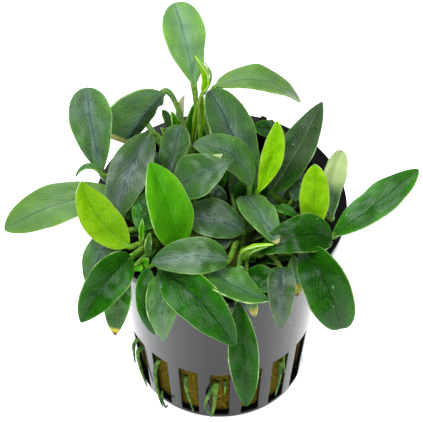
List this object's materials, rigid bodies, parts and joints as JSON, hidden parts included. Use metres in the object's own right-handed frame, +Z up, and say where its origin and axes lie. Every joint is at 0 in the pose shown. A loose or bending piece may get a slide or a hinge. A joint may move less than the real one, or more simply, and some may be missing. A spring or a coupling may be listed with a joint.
{
  "type": "potted anubias plant",
  "caption": "Small anubias with oval green leaves on short stalks, creeping rhizomes on a mineral wool plug, in a slotted tapered nursery pot.",
  "frame": {"origin": "centre of the pot's underside, on the surface it stands on", "axes": "+Z up along the pot's axis, -Y towards the front of the plant, +X to its right"},
  "size_m": [0.0892, 0.0788, 0.0861],
  "materials": {
    "black_polypropylene": "satin, fine moulding grain",
    "mineral_wool": "dry, fibrous, golden brown",
    "rhizome_skin": "smooth plant skin with leaf scars",
    "root_skin": "smooth green plant skin",
    "leaf_new": "young leaf, lime green, soft sheen",
    "leaf_grown": "grown leaf, mid to dark green, waxy sheen",
    "leaf_aged": "old leaf, yellowing with brown edges"
  },
  "bodies": {
    "root": {"pot": "black_polypropylene", "mineral_wool": "mineral_wool", "rhizome_left": "rhizome_skin", "rhizome_front": "rhizome_skin", "rhizome_back": "rhizome_skin", "rhizome_middle": "rhizome_skin", "rhizome_right": "rhizome_skin", "root_1": "root_skin", "root_2": "root_skin", "root_3": "root_skin", "root_4": "root_skin", "root_5": "root_skin", "root_6": "root_skin", "leaf_01": "leaf_grown", "leaf_02": "leaf_new", "leaf_03": "leaf_grown", "leaf_26": "leaf_grown", "leaf_27": "leaf_grown", "leaf_04": "leaf_grown", "leaf_05": "leaf_aged", "leaf_06": "leaf_grown", "leaf_07": "leaf_grown", "leaf_08": "leaf_new", "leaf_09": "leaf_aged", "leaf_11": "leaf_grown", "leaf_12": "leaf_grown", "leaf_13": "leaf_aged", "leaf_10": "leaf_new", "leaf_28": "leaf_grown", "leaf_29": "leaf_aged", "leaf_30": "leaf_grown", "leaf_31": "leaf_grown", "leaf_32": "leaf_grown", "leaf_35": "leaf_grown", "leaf_36": "leaf_grown", "leaf_14": "leaf_grown", "leaf_15": "leaf_grown", "leaf_16": "leaf_grown", "leaf_17": "leaf_grown", "leaf_37": "leaf_grown", "leaf_38": "leaf_grown", "leaf_40": "leaf_new", "leaf_18": "leaf_grown", "leaf_19": "leaf_grown", "leaf_20": "leaf_grown", "leaf_21": "leaf_grown", "leaf_22": "leaf_grown", "leaf_23": "leaf_new", "leaf_24": "leaf_new", "leaf_25": "leaf_aged", "leaf_33": "leaf_grown", "leaf_34": "leaf_grown", "leaf_39": "leaf_aged", "leaf_41": "leaf_grown", "leaf_42": "leaf_grown", "leaf_43": "leaf_grown"}
  },
  "joints": []
}
